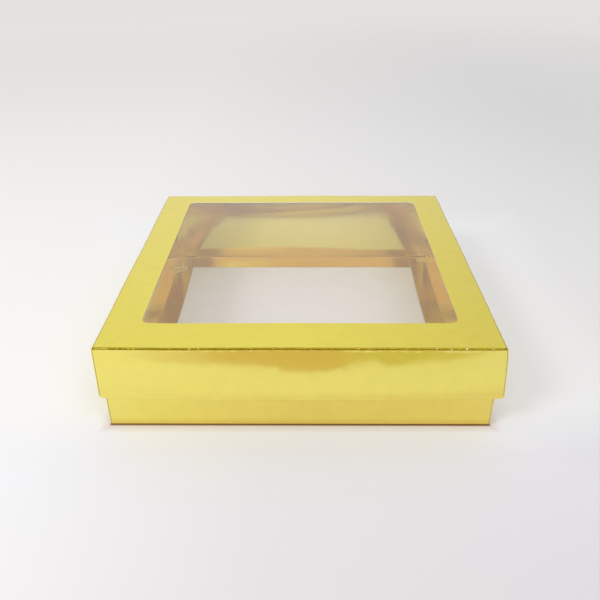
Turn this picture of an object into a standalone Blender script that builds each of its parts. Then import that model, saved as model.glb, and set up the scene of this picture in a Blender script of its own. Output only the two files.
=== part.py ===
"""Window gift box: a lid with a clear film window over a shallow tray, both folded from thin foil board.

Each of the two boards is one die-cut sheet, gold on its face and white on its reverse. Its walls are double:
a wall rises at a crease, rolls over at the rim, runs back inside and ends in a flap that lies flat. Tabs on
the front and back walls turn the corners and are trapped inside the side walls.

Metres, +Z up. The origin is the middle of the tray's underside, and the front is towards -Y.
"""

from dataclasses import dataclass
from math import cos, pi, sin, sqrt, tan
from typing import Callable

import bmesh
import bpy
from mathutils import Vector

# The closed box
LID_WIDTH = 0.250
LID_LENGTH = 0.250
LID_DEPTH = 0.038
TRAY_HEIGHT = 0.0594
TRAY_INSET = 0.0023  # from the lid's outer face to the tray's, on every side

# Sheet stock, and the air between layers that lie together
BOARD = 0.0004
FILM = 0.0002
GLUE = 0.0001
SEAM = 0.0003

# Creases, by the radius of their outer face, and the cut-back corners of the sheets
CREASE = 0.001
RIM_CORNER = 0.002
FLAP_CORNER = 0.004

# Tray: the inner walls lean in towards their feet and bow in at mid-length, the front and back ones most at
# half height, the side ones most at the foot, where they take their flap along
TRAY_END_LEAN = 0.004
TRAY_SIDE_LEAN = 0.0022
TRAY_END_BOW = 0.0016
TRAY_SIDE_BOW = 0.0028
TRAY_END_FLAP = 0.0205
TRAY_SIDE_FLAP = 0.0155
TRAY_END_FLAP_MITRE = 0.012  # how much narrower the flap is at its free edge, at each end
TRAY_SIDE_FLAP_MITRE = 0.003
TRAY_TAB_LENGTH = 0.040

# Lid: its flaps are glued under the frame round the window. Its skirt springs out a little, and bulges at the
# middle of its front and back
LID_END_FLAP = 0.0145
LID_SIDE_FLAP = 0.020
LID_FLAP_MITRE = 0.012
LID_TAB_LENGTH = 0.030
LEFT_SPLAY = 0.0006
RIGHT_SPLAY = 0.0028
END_SPLAY = 0.0005
SPLAY_CURVE = 0.7  # under 1, the skirt turns out more near its crease than at its rim
LID_END_BULGE = 0.0022

# Tabs stand clear of the crease below them and of the roll above them
TAB_CLEARANCE = 0.002
TAB_TAPER = 0.003

# The window in the lid, with the film that covers it from inside
WINDOW_SIDE_MARGIN = 0.0236
WINDOW_FRONT_MARGIN = 0.0281
WINDOW_BACK_MARGIN = 0.0175
WINDOW_CORNER = 0.0055
FILM_MARGIN = 0.0085
FILM_CORNER = 0.003
GLUE_WIDTH = 0.004
GLUE_INSET = 0.002  # from the window's edge to the glue line

# Facets
FOLD_STEPS = 4
CORNER_STEPS = 8
TRAY_WALL_COLUMNS = 12
LID_WALL_COLUMNS = 12

# What follows from the sizes above
WALL = 3 * BOARD + 2 * SEAM  # outer board, tab and inner board
MIDDLE = BOARD / 2  # from a board's face to its middle plane
CREASE_MIDDLE = CREASE - MIDDLE
RIM_MIDDLE = WALL / 2 - MIDDLE
PANEL_EDGE = CREASE + MIDDLE + SEAM  # from a box's outer face to the edge of its floor or top
LID_HALF = Vector((LID_WIDTH / 2, LID_LENGTH / 2))
TRAY_HALF = LID_HALF - Vector((TRAY_INSET, TRAY_INSET))
TRAY_END_FLAP_LEVEL = BOARD + SEAM + MIDDLE
TRAY_SIDE_FLAP_LEVEL = TRAY_END_FLAP_LEVEL + BOARD + SEAM
FILM_TOP = BOARD + SEAM  # below the lid's top face, as are the two levels that follow
LID_END_FLAP_LEVEL = FILM_TOP + FILM + SEAM + MIDDLE
LID_SIDE_FLAP_LEVEL = LID_END_FLAP_LEVEL + BOARD + SEAM
LID_TOP = TRAY_HEIGHT + SEAM + LID_SIDE_FLAP_LEVEL + MIDDLE

# How a wall's own directions (along it, outwards) turn into X and Y
SIDES = {
    "front": lambda along, out: (along, -out),
    "right": lambda along, out: (out, along),
    "back": lambda along, out: (-along, out),
    "left": lambda along, out: (-out, -along),
}


@dataclass
class Inner:
    """The inner half of a double wall: how far its foot leans in, how it bows, and its flap."""

    lean: float
    bow: Callable
    flap: float
    mitre: float
    level: float  # of the flap's middle plane, from the outer face of the floor or top


@dataclass
class Carton:
    """One folded sheet, as an open box: the tray as it stands, or the lid seen from its top face down."""

    name: str
    body: bpy.types.Object
    half: Vector
    height: float
    end: Inner
    side: Inner
    tab_length: float
    columns: int
    place: Callable


def clear_scene():
    for obj in list(bpy.data.objects):
        bpy.data.objects.remove(obj, do_unlink=True)


def material(name, colour, roughness, metallic, alpha=1.0):
    made = bpy.data.materials.new(name)
    made.use_nodes = True
    shader = made.node_tree.nodes["Principled BSDF"]
    shader.inputs["Base Color"].default_value = (*colour, 1.0)
    shader.inputs["Roughness"].default_value = roughness
    shader.inputs["Metallic"].default_value = metallic
    shader.inputs["Alpha"].default_value = alpha
    made.diffuse_color = (*colour, alpha)
    return made


def add_object(name, data, parent):
    made = bpy.data.objects.new(name, data)
    parts.objects.link(made)
    made.parent = parent
    return made


# The reach of a sheet to each side of its middle, as a function of the share of a run


def even(half):
    return lambda share: (-half, half)


def taper(start, end):
    return lambda share: (share * (start - end) - start, start - share * (start - end))


def rounded_end(half, corner):
    """A reach that goes round a quarter circle over a run as long as the corner."""

    def reach(share):
        cut = corner * (1 - sqrt(1 - share**2))
        return cut - half, half - cut

    return reach


def between(low, high, narrowing):
    """A reach from low to high that narrows by the same amount at both edges."""
    return lambda share: (low + narrowing * share, high - narrowing * share)


# How far a sheet bows in at its mid-length, as a function of the share of a run


def level(bow):
    return lambda share: bow


def rising(bow):
    return lambda share: bow * share


def bulging(bow):
    return lambda share: bow * sin(pi * share)


def sheet_rows(start, runs):
    """Rows (place, reach, bow) along a folded sheet's middle plane.

    runs holds (end, radius of the fold there, reach, divisions, bow), where reach and bow are functions of
    the share of the run. A fold is an arc between its two runs, and reaches as far as the narrower of them.
    """
    places = [start] + [run[0] for run in runs]
    ways = [(b - a).normalized() for a, b in zip(places, places[1:])]
    setbacks = [0.0]
    for way, after, run in zip(ways, ways[1:], runs):
        setbacks.append(run[1] * tan(way.angle(after) / 2))
    setbacks.append(0.0)

    rows = []
    for i, (end, radius, reach, divisions, bow) in enumerate(runs):
        first = places[i] + ways[i] * setbacks[i]
        last = end - ways[i] * setbacks[i + 1]
        shares = [step / divisions for step in range(divisions + 1)]
        if (last - first).length < SEAM:
            shares = [1 / 2]
        for share in shares:
            rows.append((first.lerp(last, share), reach(share), bow(share)))
        if i + 1 == len(runs) or not radius:
            continue
        after = runs[i + 1][2](0)
        narrower = max(reach(1)[0], after[0]), min(reach(1)[1], after[1])
        turn = ways[i].angle_signed(ways[i + 1])
        inward = Vector((ways[i].y, -ways[i].x)) * (1 if turn > 0 else -1)
        for step in range(1, FOLD_STEPS):
            angle = abs(turn) * step / FOLD_STEPS
            spoke = ways[i] * sin(angle) + inward * (1 - cos(angle))
            rows.append((last + spoke * radius, narrower, bow(1)))
    return without_repeats(rows)


def without_repeats(rows):
    """The rows, less those that lie where the row before them does."""
    kept = rows[:1]
    for row in rows[1:]:
        if (row[0] - kept[-1][0]).length > SEAM / 10:
            kept.append(row)
    return kept


def folded_sheet(name, rows, columns, place, parent, turned_over=False):
    """A board of even thickness on a grid bent along the rows.

    place maps (across the sheet, spot of the row) to a point. The board's face is gold, and its reverse and
    cut edges are white.
    """
    mesh = bpy.data.meshes.new(name)
    sheet = bmesh.new()
    last = len(rows) - 1
    bmesh.ops.create_grid(sheet, x_segments=columns, y_segments=last, size=1)
    for vert in sheet.verts:
        spot, (low, high), bow = rows[round((vert.co.y + 1) / 2 * last)]
        across = low + (vert.co.x + 1) / 2 * (high - low)
        bowed = spot - Vector((bow * (1 - vert.co.x**2), 0))
        vert.co = place(across, bowed)
    if turned_over:
        bmesh.ops.reverse_faces(sheet, faces=sheet.faces)
    sheet.to_mesh(mesh)
    sheet.free()
    for entry in (gold, white):
        mesh.materials.append(entry)
    made = add_object(name, mesh, parent)
    thickness = made.modifiers.new("board", "SOLIDIFY")
    thickness.thickness = BOARD
    thickness.offset = 0
    thickness.use_even_offset = True
    thickness.material_offset = 1
    thickness.material_offset_rim = 1
    return made


def wall_rows(out_half, height, inner, reaches):
    """Rows of a double wall: crease, outer board, roll over the rim, inner board, crease and flap.

    Each place is (distance out from the box's middle, distance from the outer face of the floor or top).
    reaches holds one reach for each of the six straight runs.
    """
    outside = out_half - MIDDLE
    inside = out_half - WALL + MIDDLE
    rim = height - MIDDLE
    corner = height - WALL / 2 - RIM_CORNER
    foot = inside - inner.lean
    tip = foot - inner.flap
    start = Vector((outside - CREASE, MIDDLE))
    runs = (
        (Vector((outside, MIDDLE)), CREASE_MIDDLE, reaches[0], 1, level(0)),
        (Vector((outside, corner)), 0, reaches[1], 4, level(0)),
        (Vector((outside, rim)), RIM_MIDDLE, reaches[2], 3, level(0)),
        (Vector((inside, rim)), RIM_MIDDLE, reaches[3], 1, level(0)),
        (Vector((foot, inner.level)), CREASE_MIDDLE, reaches[4], 6, inner.bow),
        (Vector((tip, inner.level)), 0, reaches[5], 1, level(inner.bow(1))),
    )
    return sheet_rows(start, runs)


def end_wall(carton, side):
    """A front or back wall, which ends at the creases of its own tabs and fits between the side walls."""
    panel = even(carton.half.x - BOARD - SEAM - CREASE - SEAM)
    inside = carton.half.x - WALL - SEAM
    flap = taper(inside, inside - carton.end.mitre)
    reaches = (panel, panel, panel, even(inside), even(inside), flap)
    rows = wall_rows(carton.half.y, carton.height, carton.end, reaches)
    folded_sheet(f"{carton.name}_{side}_wall", rows, carton.columns, carton.place(side), carton.body)


def side_wall(carton, side):
    """A left or right wall, which covers the corners outside and fits between the end walls inside."""
    edge = carton.half.y
    inside = edge - WALL - SEAM
    foot = inside - carton.end.lean
    flap = foot - FLAP_CORNER
    reaches = (
        even(edge - CREASE),
        even(edge),
        rounded_end(edge, RIM_CORNER),
        even(edge - RIM_CORNER),
        taper(inside, foot),
        taper(flap, flap - carton.side.mitre),
    )
    rows = wall_rows(carton.half.x, carton.height, carton.side, reaches)
    folded_sheet(f"{carton.name}_{side}_wall", rows, carton.columns, carton.place(side), carton.body)


def corner_tab(carton, side, hand):
    """The tab at one end of the front or back wall. It turns the corner inside the side wall."""
    end = 1 if (side == "front") == (hand == "right") else -1  # the back wall runs from right to left
    face = carton.half.x - BOARD - SEAM - MIDDLE
    outside = carton.half.y - MIDDLE
    low = TAB_CLEARANCE
    high = carton.height - WALL / 2 - SEAM
    runs = (
        (Vector((face, outside)), CREASE_MIDDLE, between(low, high, 0), 1, level(0)),
        (Vector((face, outside - carton.tab_length)), 0, between(low, high, TAB_TAPER), 1, level(0)),
    )
    rows = sheet_rows(Vector((face - CREASE_MIDDLE, outside)), runs)

    def place(up, spot):
        return carton.place(side)(end * spot.x, Vector((spot.y, up)))

    name = f"{carton.name}_{side}_{hand}_corner_tab"
    folded_sheet(name, rows, 1, place, carton.body, turned_over=end > 0)


def fold_walls(carton):
    for side in ("front", "back"):
        end_wall(carton, side)
        for hand in ("left", "right"):
            corner_tab(carton, side, hand)
    for side in ("left", "right"):
        side_wall(carton, side)


def tray_place(side):
    """Where a point of a tray wall lies, given its place along the wall and (out, up)."""

    def place(along, spot):
        return Vector((*SIDES[side](along, spot.x), spot.y))

    return place


def lid_place(side):
    """The same for the lid, whose frame starts at its top face and hangs down."""

    def place(along, spot):
        return splayed(Vector((*SIDES[side](along, spot.x), -spot.y)))

    return place


def splayed(point):
    """A point of the lid's skirt, sprung out towards its lower edge and bulged at the middle of its ends."""
    drop = min(max((-point.z - CREASE) / (LID_DEPTH - CREASE), 0), 1)
    turned = drop**SPLAY_CURVE
    side_splay = RIGHT_SPLAY if point.x > 0 else LEFT_SPLAY
    bulge = LID_END_BULGE * (1 - (point.x / LID_HALF.x) ** 2) * sin(drop * pi / 2)
    widened = point.x * (1 + turned * side_splay / LID_HALF.x)
    lengthened = point.y * (1 + (turned * END_SPLAY + bulge) / LID_HALF.y)
    return Vector((widened, lengthened, point.z))


def outline(left, right, front, back, corner):
    """A rectangle with its corners as arcs, anticlockwise from the front right."""
    centres = (
        (right - corner, front + corner),
        (right - corner, back - corner),
        (left + corner, back - corner),
        (left + corner, front + corner),
    )
    points = []
    for quarter, (x, y) in enumerate(centres):
        for step in range(CORNER_STEPS + 1):
            angle = (quarter - 1 + step / CORNER_STEPS) * pi / 2
            points.append((x + corner * cos(angle), y + corner * sin(angle)))
    return points


def window_outline(grown, corner):
    """The window's outline, moved out by the same amount on every side."""
    left = WINDOW_SIDE_MARGIN - grown - LID_HALF.x
    front = WINDOW_FRONT_MARGIN - grown - LID_HALF.y
    back = LID_HALF.y - WINDOW_BACK_MARGIN + grown
    return outline(left, -left, front, back, corner)


def flat_sheet(name, outlines, middle, thickness, parent, entry):
    """A flat piece from closed outlines, of which the second is a hole, centred on the height middle."""
    curve = bpy.data.curves.new(name, "CURVE")
    curve.dimensions = "2D"
    curve.fill_mode = "BOTH"
    curve.extrude = thickness / 2
    for points in outlines:
        spline = curve.splines.new("POLY")
        spline.points.add(len(points) - 1)
        for point, (x, y) in zip(spline.points, points):
            point.co = (x, y, 0, 1)
        spline.use_cyclic_u = True
    curve.materials.append(entry)
    made = add_object(name, curve, parent)
    made.location.z = middle


def tray_floor(body):
    """The tray's floor panel, gold below and white above."""
    half = TRAY_HALF - Vector((PANEL_EDGE, PANEL_EDGE))
    mesh = bpy.data.meshes.new("tray_floor")
    plate = bmesh.new()
    bmesh.ops.create_cube(plate, size=1)
    for vert in plate.verts:
        vert.co *= Vector((2 * half.x, 2 * half.y, BOARD))
    for face in plate.faces:
        face.material_index = 1 if face.normal.z > 0 else 0
    plate.to_mesh(mesh)
    plate.free()
    for entry in (gold, white):
        mesh.materials.append(entry)
    floor = add_object("tray_floor", mesh, body)
    floor.location.z = MIDDLE


def lid_top(body):
    """The frame round the window, and the film glued under it."""
    edge = LID_HALF - Vector((PANEL_EDGE, PANEL_EDGE))
    frame = [(-edge.x, -edge.y), (edge.x, -edge.y), (edge.x, edge.y), (-edge.x, edge.y)]
    flat_sheet("lid_top_frame", (frame, window_outline(0, WINDOW_CORNER)), -MIDDLE, BOARD, body, gold)
    sheet = window_outline(FILM_MARGIN, FILM_CORNER)
    flat_sheet("window_film", (sheet,), -FILM_TOP - FILM / 2, FILM, body, film)
    glue_outer = window_outline(GLUE_INSET + GLUE_WIDTH, WINDOW_CORNER + GLUE_INSET + GLUE_WIDTH)
    glue_inner = window_outline(GLUE_INSET, WINDOW_CORNER + GLUE_INSET)
    flat_sheet("window_glue_line", (glue_outer, glue_inner), -BOARD - SEAM / 2, GLUE, body, glue)


def tray():
    body = add_object("tray", None, None)
    end = Inner(TRAY_END_LEAN, bulging(TRAY_END_BOW), TRAY_END_FLAP, TRAY_END_FLAP_MITRE, TRAY_END_FLAP_LEVEL)
    side = Inner(
        TRAY_SIDE_LEAN, rising(TRAY_SIDE_BOW), TRAY_SIDE_FLAP, TRAY_SIDE_FLAP_MITRE, TRAY_SIDE_FLAP_LEVEL
    )
    tray_floor(body)
    size = (TRAY_HALF, TRAY_HEIGHT)
    fold_walls(Carton("tray", body, *size, end, side, TRAY_TAB_LENGTH, TRAY_WALL_COLUMNS, tray_place))


def lid():
    """The lid hangs from an empty on the line along which it lifts."""
    body = add_object("lid", None, None)
    body.location.z = LID_TOP
    end = Inner(0, level(0), LID_END_FLAP, LID_FLAP_MITRE, LID_END_FLAP_LEVEL)
    side = Inner(0, level(0), LID_SIDE_FLAP, LID_FLAP_MITRE, LID_SIDE_FLAP_LEVEL)
    lid_top(body)
    size = (LID_HALF, LID_DEPTH)
    fold_walls(Carton("lid", body, *size, end, side, LID_TAB_LENGTH, LID_WALL_COLUMNS, lid_place))


clear_scene()
parts = bpy.data.collections.new("window_gift_box")
bpy.context.scene.collection.children.link(parts)
gold = material("gold foil", (0.896, 0.791, 0.125), 0.18, 1.0)
white = material("white board reverse", (0.86, 0.84, 0.80), 0.7, 0.0)
film = material("clear film", (0.92, 0.92, 0.92), 0.05, 0.0, alpha=0.25)
glue = material("glue line", (0.80, 0.78, 0.70), 0.35, 0.0, alpha=0.6)
tray()
lid()
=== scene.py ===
"""A square gift box of mirror gold foil board: a lid with a clear film window over a shallow tray.

Each of the two boards is one die-cut sheet, gold foil on its face and white on its reverse. Its walls are
folded strips: a wall turns at a crease, rolls over at the rim, runs back inside and ends in a flap.

Metres, +Z up. The origin is the middle of the tray's underside, and the front is towards -Y.
"""

from collections import namedtuple
from math import cos, exp, pi, radians, sin, sqrt, tan
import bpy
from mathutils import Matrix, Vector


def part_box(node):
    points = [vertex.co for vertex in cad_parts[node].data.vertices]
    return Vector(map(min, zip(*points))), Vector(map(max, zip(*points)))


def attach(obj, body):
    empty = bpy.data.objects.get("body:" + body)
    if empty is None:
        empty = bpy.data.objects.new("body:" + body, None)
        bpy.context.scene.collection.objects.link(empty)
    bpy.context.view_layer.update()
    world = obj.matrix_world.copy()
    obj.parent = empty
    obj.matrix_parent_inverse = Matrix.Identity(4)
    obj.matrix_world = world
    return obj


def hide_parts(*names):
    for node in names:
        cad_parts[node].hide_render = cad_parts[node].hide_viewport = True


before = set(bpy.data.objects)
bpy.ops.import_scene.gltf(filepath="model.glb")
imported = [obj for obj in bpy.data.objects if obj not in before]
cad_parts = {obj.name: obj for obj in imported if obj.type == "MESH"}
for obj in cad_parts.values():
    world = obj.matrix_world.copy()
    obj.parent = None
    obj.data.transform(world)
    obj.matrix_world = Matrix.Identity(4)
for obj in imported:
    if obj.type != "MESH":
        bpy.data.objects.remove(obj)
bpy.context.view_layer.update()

from types import SimpleNamespace

import bpy
from bpy.props import FloatProperty, FloatVectorProperty, IntProperty, PointerProperty
from mathutils import Matrix, Vector

bl_info = {
    "name": "Window gift box",
    "version": (1, 0, 0),
    "blender": (4, 5, 0),
    "location": "View3D > Sidebar > Gift box",
    "description": "Makes a foil board gift box with a film window, its light and its camera",
    "category": "Object",
}

MM = 0.001

# How a wall's own directions, along it and outwards, lie in X and Y
SIDES = {
    "front": (Vector((1, 0, 0)), Vector((0, -1, 0))),
    "right": (Vector((0, 1, 0)), Vector((1, 0, 0))),
    "back": (Vector((-1, 0, 0)), Vector((0, 1, 0))),
    "left": (Vector((0, -1, 0)), Vector((-1, 0, 0))),
}
UP = Vector((0, 0, 1))

Row = namedtuple("Row", "place reach bow")
Run = namedtuple("Run", "end fold reach bow", defaults=(lambda share: 0.0,))


# Sizes and colours


def length(name, description, default):
    return FloatProperty(
        name=name, description=description, default=default, min=0, precision=5, unit="LENGTH", subtype="DISTANCE"
    )


def ratio(name, description, default, **limits):
    return FloatProperty(name=name, description=description, default=default, subtype="FACTOR", **limits)


def hex_colour(text):
    """An sRGB hex colour in linear light, opaque."""
    channels = [int(text[i : i + 2], 16) / 255 for i in (1, 3, 5)]
    return (*(c / 12.92 if c <= 0.04045 else ((c + 0.055) / 1.055) ** 2.4 for c in channels), 1.0)


def colour(name, description, default):
    return FloatVectorProperty(
        name=name, description=description, default=hex_colour(default)[:3], size=3, min=0, max=1, subtype="COLOR"
    )


def frame_size(node):
    low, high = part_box(node)
    return high - low


class BoxSizes(bpy.types.PropertyGroup):
    """The closed box, its boards and its window."""

    width: length("Width", "Width of the lid's top, from side to side", 0.250)
    depth: length("Length", "Length of the lid's top, from front to back", 0.250)
    lid_depth: length("Lid depth", "From the lid's top face to its rim", 0.038)
    lid_top: length("Height", "From the table to the lid's top face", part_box("lid_top_frame")[1].z)
    tray_height: length("Tray height", "From the table to the tray's rim", 0.0594)
    tray_inset: length("Tray inset", "From the lid's outer face to the tray's", 0.0023)
    board: length("Board", "Thickness of the foil board", frame_size("tray_floor").z)
    air: length("Air", "Air between layers that lie together", 0.0003)
    crease: length("Crease radius", "Radius of a crease's outer face", 0.0015)
    rim_corner: length("Rim corner", "Radius of a side wall's corner at the rim", 0.002)
    film: length("Film", "Thickness of the window film", 0.0002)
    glue: length("Glue", "Thickness of the glue line", 0.0001)
    window_side: length("Window side margin", "From the lid's side to the window", 0.0236)
    window_front: length("Window front margin", "From the lid's front to the window", 0.0281)
    window_back: length("Window back margin", "From the lid's back to the window", 0.0175)
    window_corner: length("Window corner", "Radius of the window's corners", 0.0058)
    film_margin: length("Film margin", "How far the film runs under the frame", 0.0085)
    glue_inset: length("Glue inset", "From the window's edge to the glue line", 0.002)
    glue_width: length("Glue width", "Width of the glue line", 0.004)


class BoxShape(bpy.types.PropertyGroup):
    """How the boards have sprung, bowed and crumpled since they were folded."""

    left_splay: length("Left splay", "How far the skirt springs out at its left rim", 0.0006)
    right_splay: length("Right splay", "How far the skirt springs out at its right rim", 0.0028)
    end_splay: length("End splay", "How far the skirt springs out at its front and back rims", 0.0005)
    splay_curve: ratio("Splay curve", "Below 1, the skirt turns out more near its crease", 0.7, min=0.1, max=2)
    end_bulge: length("End bulge", "How far the front and back skirts bulge at mid-length", 0.0022)
    wave: length("Wave height", "Height of the slow waves in the boards", 0.0002)
    wave_size: length("Wave size", "Length of the slow waves in the boards", 0.070)
    crumple: length("Crumple height", "Height of the crumples along a crease", 0.00016)
    crumple_size: length("Crumple size", "Length of the crumples along a crease", 0.0045)
    seed: IntProperty(name="Seed", description="Picks the waves and crumples", default=4, min=0)


class BoxFinish(bpy.types.PropertyGroup):
    """Colours of the foil, the board and the film."""

    foil: colour("Foil", "Colour of the mirror gold foil", "#F3E677")
    paper: colour("Board reverse", "Colour of the board's uncoated reverse", "#FAF8F7")
    haze: colour("Film haze", "Colour of the film's faint haze", "#EDEBE8")


# Nodes


def add(tree, kind, inputs=(), **settings):
    """Adds a node to a tree. Each input is a value, an output or a node, by its place or its name. A map
    range takes its value, then the range that it comes from, and the one that it goes to unless that is 0 to 1.
    """
    node = tree.nodes.new(kind)
    for name, value in settings.items():
        setattr(node, name, value)
    for key, value in inputs.items() if isinstance(inputs, dict) else enumerate(inputs):
        if isinstance(value, bpy.types.Node):
            value = value.outputs[0]
        if isinstance(value, bpy.types.NodeSocket):
            tree.links.new(value, node.inputs[key])
        elif value is not None:
            node.inputs[key].default_value = value
    return node


def new_tree(name, inputs):
    """A geometry tree with a Geometry input, the named inputs and a Geometry output."""
    tree = bpy.data.node_groups.new(name, "GeometryNodeTree")
    tree.interface.new_socket("Geometry", in_out="INPUT", socket_type="NodeSocketGeometry")
    for label, kind in inputs.items():
        tree.interface.new_socket(label, in_out="INPUT", socket_type=f"NodeSocket{kind}")
    tree.interface.new_socket("Geometry", in_out="OUTPUT", socket_type="NodeSocketGeometry")
    return tree, tree.nodes.new("NodeGroupInput").outputs


SHEET_INPUTS = {
    **dict.fromkeys(("Thickness", "Wave height", "Wave size", "Crumple height", "Crumple size"), "Float"),
    "Rest height": "Float",
    "Seed": "Int",
    **dict.fromkeys(("Face", "Reverse"), "Material"),
}

# Each seed draws its waves from another place in the noise
SEED_STEP = (0.37, 0.11, 0.23)

# The noise strays a quarter to each side of its middle, and this brings it to the full height
NOISE_SPAN = 4.0

# The foil is dragged over the cut edges that lie this far out or further. Those further in show the white board
FOILED_EDGES = 113.5 * MM

# Points of one sheet that lie closer than this are the same point
MERGED = MM / 1000


def sheet_tree():
    """Turns a middle surface into sheet stock: slow waves, crumples where it is worn, and an even thickness."""
    tree, given = new_tree("Sheet stock", SHEET_INPUTS)
    spot = add(tree, "GeometryNodeInputPosition")
    drawn = add(tree, "ShaderNodeVectorMath", [given["Seed"], SEED_STEP], operation="MULTIPLY")
    spot = add(tree, "ShaderNodeVectorMath", [spot, drawn], operation="ADD")
    offset = None
    worn = add(tree, "GeometryNodeInputNamedAttribute", {"Name": "worn"}, data_type="FLOAT")
    for label, detail, strength in (("Wave", 0.0, None), ("Crumple", 2.0, worn)):
        fineness = add(tree, "ShaderNodeMath", [1.0, given[f"{label} size"]], operation="DIVIDE")
        noise = add(tree, "ShaderNodeTexNoise", {"Vector": spot, "Scale": fineness, "Detail": detail})
        shift = add(tree, "ShaderNodeVectorMath", [noise.outputs["Color"], (0.5, 0.5, 0.5)], operation="SUBTRACT")
        height = add(tree, "ShaderNodeMath", [given[f"{label} height"], NOISE_SPAN], operation="MULTIPLY")
        if strength:
            height = add(tree, "ShaderNodeMath", [height, strength], operation="MULTIPLY")
        shift = add(tree, "ShaderNodeVectorMath", {0: shift, "Scale": height}, operation="SCALE")
        offset = add(tree, "ShaderNodeVectorMath", [offset, shift], operation="ADD") if offset else shift

    # A sheet lies flat where it rests on the table
    height = add(tree, "ShaderNodeSeparateXYZ", [add(tree, "GeometryNodeInputPosition")]).outputs["Z"]
    free = add(tree, "ShaderNodeMapRange", [height, 0.0, given["Rest height"]])
    offset = add(tree, "ShaderNodeVectorMath", {0: offset, "Scale": free}, operation="SCALE")
    middle = add(tree, "GeometryNodeSetPosition", {"Geometry": given["Geometry"], "Offset": offset})

    # The face and the reverse lie half a thickness to each side, and the cut edges close them
    middle = {"Geometry": middle, "Name": "through", "Value": add(tree, "GeometryNodeInputNormal")}
    middle = add(tree, "GeometryNodeStoreNamedAttribute", middle, data_type="FLOAT_VECTOR", domain="POINT")
    through = add(tree, "GeometryNodeInputNamedAttribute", {"Name": "through"}, data_type="FLOAT_VECTOR")
    moved = {}
    for label, times in (("face", 1 / 2), ("cut", -1.0), ("reverse", -1 / 2)):
        part = add(tree, "ShaderNodeMath", [given["Thickness"], times], operation="MULTIPLY")
        moved[label] = add(tree, "ShaderNodeVectorMath", {0: through, "Scale": part}, operation="SCALE")
    face = add(tree, "GeometryNodeSetPosition", {"Geometry": middle, "Offset": moved["face"]})
    beside = add(tree, "GeometryNodeInputMeshEdgeNeighbors")
    border = add(tree, "FunctionNodeCompare", {2: beside, 3: 1}, data_type="INT", operation="EQUAL")
    cut = {"Mesh": face, "Selection": border, "Offset Scale": 0.0}
    cut = add(tree, "GeometryNodeExtrudeMesh", cut, mode="EDGES")
    face = {"Geometry": cut, "Selection": cut.outputs["Top"], "Offset": moved["cut"]}
    face = add(tree, "GeometryNodeSetPosition", face)
    place = add(tree, "ShaderNodeSeparateXYZ", [add(tree, "GeometryNodeInputPosition")]).outputs
    reach = [add(tree, "ShaderNodeMath", [place[axis]], operation="ABSOLUTE") for axis in "XY"]
    reach = add(tree, "ShaderNodeMath", reach, operation="MAXIMUM")
    inner = add(tree, "FunctionNodeCompare", {0: reach, 1: FOILED_EDGES}, operation="LESS_THAN")
    bare = add(tree, "FunctionNodeBooleanMath", [cut.outputs["Side"], inner], operation="AND")
    printed = add(tree, "FunctionNodeBooleanMath", [bare], operation="NOT")
    face = {"Geometry": face, "Name": "printed", "Value": printed}
    face = add(tree, "GeometryNodeStoreNamedAttribute", face, data_type="BOOLEAN", domain="FACE")
    reverse = add(tree, "GeometryNodeSetPosition", {"Geometry": middle, "Offset": moved["reverse"]})
    reverse = add(tree, "GeometryNodeFlipFaces", [reverse])
    closed = add(tree, "GeometryNodeJoinGeometry", [face])
    tree.links.new(reverse.outputs[0], closed.inputs[0])
    closed = add(tree, "GeometryNodeMergeByDistance", {"Geometry": closed, "Distance": MERGED})
    closed = add(tree, "GeometryNodeRealizeInstances", [closed])
    chosen = add(tree, "GeometryNodeInputNamedAttribute", {"Name": "printed"}, data_type="BOOLEAN")
    for layer, where in (("Reverse", None), ("Face", chosen)):
        closed = {"Geometry": closed, "Selection": where, "Material": given[layer]}
        closed = add(tree, "GeometryNodeSetMaterial", closed)
    add(tree, "NodeGroupOutput", [closed])
    return tree


FOLD_INPUTS = {
    "Columns": "Int",
    **dict.fromkeys(("Along", "Out", "Up", "Origin", "Dent"), "Vector"),
    "Turned over": "Bool",
    **dict.fromkeys(("Bow skew", "Dent radius", "Half", "Skirt top", "Skirt depth"), "Float"),
    **dict.fromkeys(("Left splay", "Right splay", "End splay", "Splay curve", "End bulge"), "Float"),
}

# A dent crumples the foil more than a crease does. It reaches the inner board alone, which lies less far out
# than this
DENT_WEAR = 1.6
INNER_BOARD = 121.8 * MM


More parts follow.
